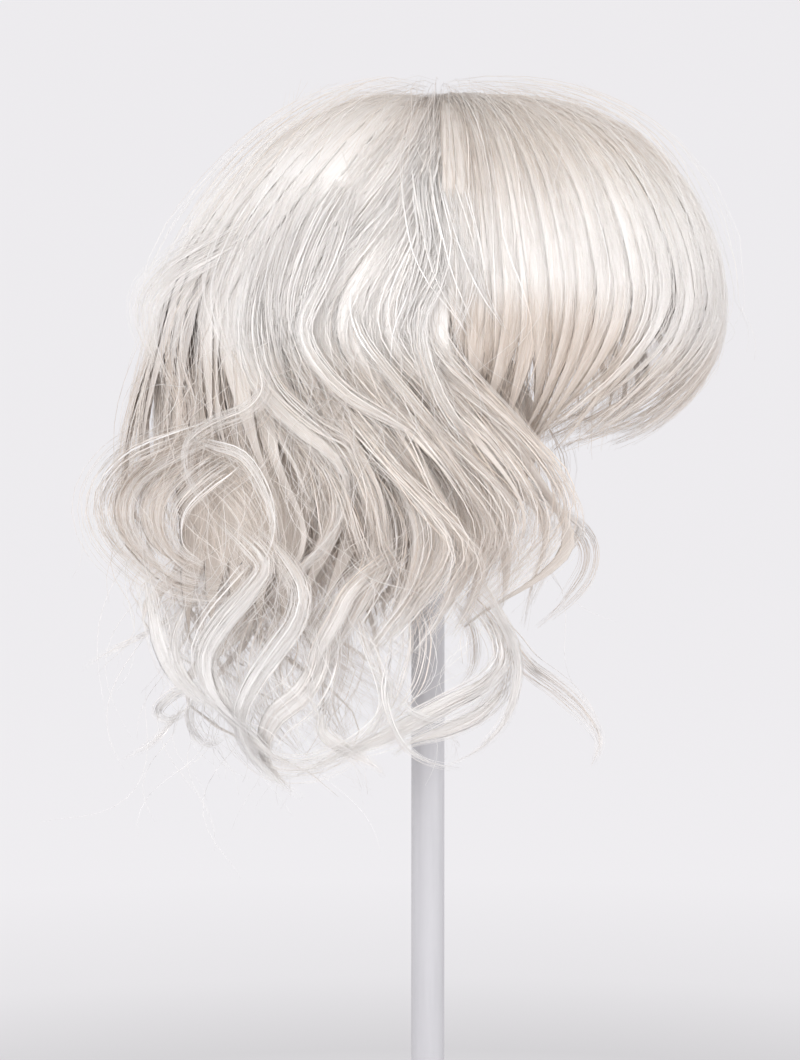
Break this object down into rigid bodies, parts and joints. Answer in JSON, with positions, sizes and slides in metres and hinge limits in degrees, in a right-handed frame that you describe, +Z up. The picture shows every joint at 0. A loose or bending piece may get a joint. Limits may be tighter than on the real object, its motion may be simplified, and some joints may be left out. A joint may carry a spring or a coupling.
{
  "type": "hair topper on a post stand",
  "caption": "Pale wavy hair topper with a rolled fringe and curled locks on a hollow net cap, held up by a plain round post on a disc base.",
  "frame": {"origin": "centre of the stand base's underside, on the post's axis", "axes": "+Z up along the post, -Y towards the wearer's front (the fringe), -X towards the wearer's right"},
  "size_m": [0.2397, 0.2822, 0.503],
  "materials": {
    "hair": "glossy pale fibre",
    "net": "matt net",
    "clip": "glossy",
    "stand": "frosted"
  },
  "bodies": {
    "root": {"cap": "net", "fringe": "hair", "right_hair": "hair", "left_hair": "hair", "back_hair": "hair", "clip_front": "clip", "clip_right": "clip", "clip_back": "clip", "clip_left": "clip", "stand_top": "stand", "stand_post": "stand", "stand_base": "stand"}
  },
  "joints": []
}
